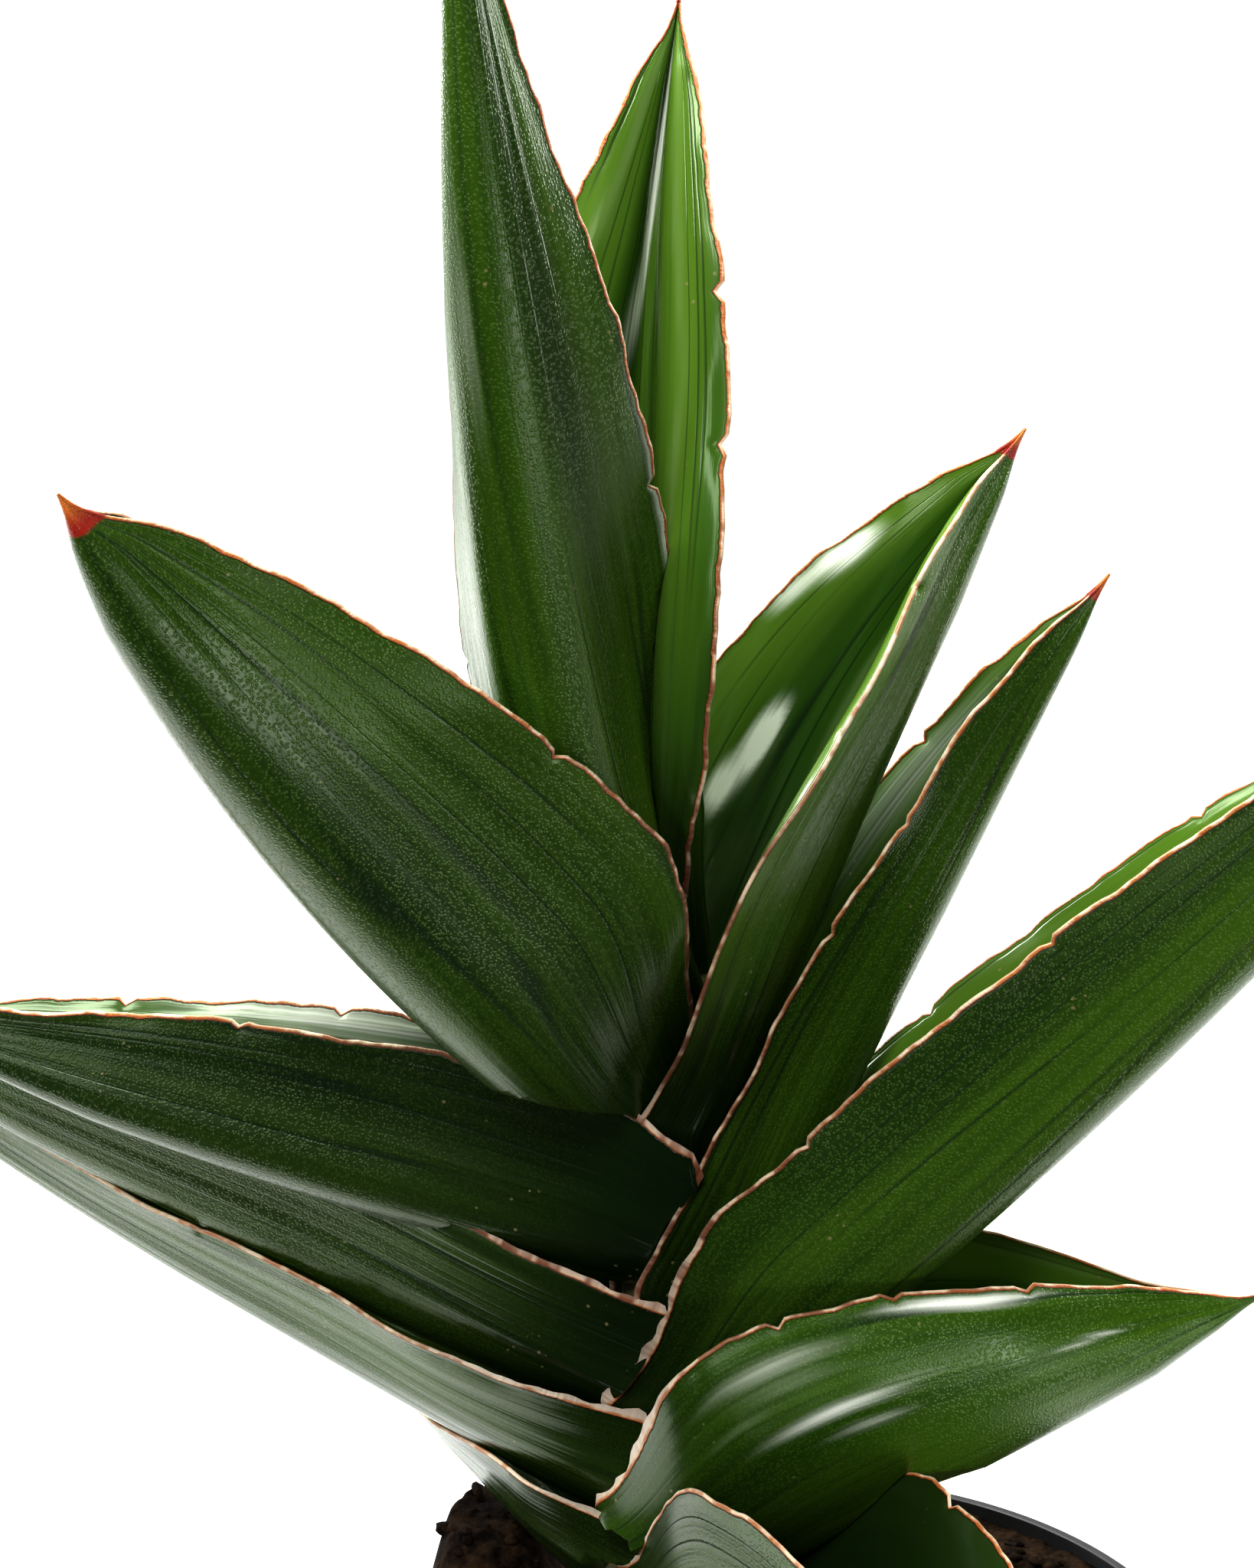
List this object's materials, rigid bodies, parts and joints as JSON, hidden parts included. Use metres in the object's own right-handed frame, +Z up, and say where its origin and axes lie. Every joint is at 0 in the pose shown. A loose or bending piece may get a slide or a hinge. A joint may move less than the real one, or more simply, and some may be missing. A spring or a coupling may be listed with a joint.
{
  "type": "potted samurai snake plant",
  "caption": "Snake plant with stiff boat-shaped leaves in two spiralling ranks, copper leaf edges and spine tips, rooted off centre in a plain round nursery pot of soil.",
  "frame": {"origin": "centre of the pot's flat underside", "axes": "+Z up along the pot's axis, -Y towards the side the picture was taken from, +X to the right of that view"},
  "size_m": [0.2856, 0.1894, 0.4293],
  "materials": {
    "pot_plastic": "satin black",
    "potting_soil": "rough, dark brown, crumbly",
    "stem_tissue": "dull green",
    "leaf_tissue": "satin dark green with a fine pebbled grain, copper edge and orange spine"
  },
  "bodies": {
    "root": {"pot": "pot_plastic", "soil": "potting_soil", "stem": "stem_tissue", "leaf_01": "leaf_tissue", "leaf_02": "leaf_tissue", "leaf_03": "leaf_tissue", "leaf_04": "leaf_tissue", "leaf_05": "leaf_tissue", "leaf_06": "leaf_tissue", "leaf_07": "leaf_tissue", "leaf_08": "leaf_tissue", "leaf_09": "leaf_tissue", "leaf_10": "leaf_tissue", "leaf_11": "leaf_tissue", "leaf_12": "leaf_tissue"}
  },
  "joints": []
}
